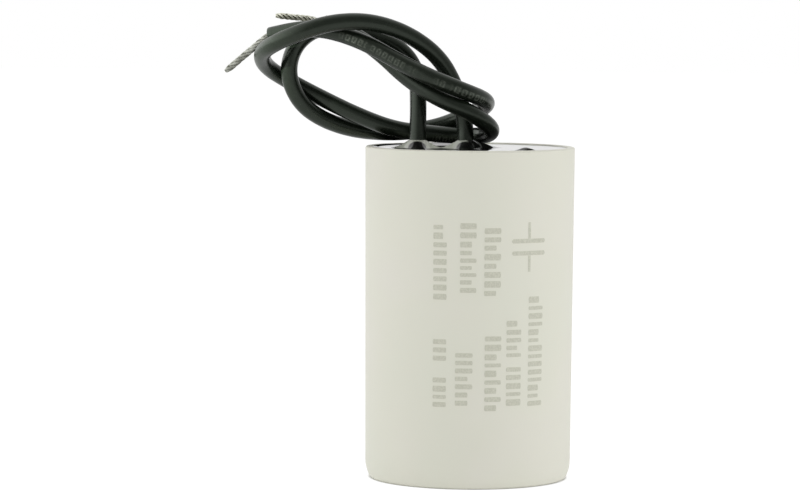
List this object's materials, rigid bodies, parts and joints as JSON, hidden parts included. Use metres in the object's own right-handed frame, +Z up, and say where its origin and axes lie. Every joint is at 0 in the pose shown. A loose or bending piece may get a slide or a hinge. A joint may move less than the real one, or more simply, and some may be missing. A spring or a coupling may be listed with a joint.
{
  "type": "motor capacitor with flying leads",
  "caption": "Round moulded plastic cup filled with black resin around a film winding, with insulated flying leads looped above it and tinned at their bare ends.",
  "frame": {"origin": "centre of the underside of the cup, on the surface it stands on", "axes": "+Z up along the cup's axis; the leads lean over towards -X; the side seen in the picture faces -Y"},
  "size_m": [0.059, 0.035, 0.0777],
  "materials": {
    "case_plastic": "satin ivory white moulding",
    "resin": "glossy black cast resin",
    "tube_plastic": "plain",
    "wound_film": "metallised film",
    "clear_film": "clear film, several turns",
    "sprayed_metal": "rough sprayed zinc",
    "solder": "bright solder",
    "lead_insulation": "satin black insulation",
    "tinned_strands": "tinned copper strands"
  },
  "bodies": {
    "root": {"case": "case_plastic", "potting_resin": "resin", "winding_tube": "tube_plastic", "film_winding": "wound_film", "wrap_film": "clear_film", "end_spray_bottom": "sprayed_metal", "end_spray_top": "sprayed_metal", "solder_joint_top": "solder", "solder_joint_bottom": "solder", "lead_a_insulation": "lead_insulation", "lead_b_insulation": "lead_insulation", "lead_a_conductor": "tinned_strands", "lead_b_conductor": "tinned_strands"}
  },
  "joints": []
}
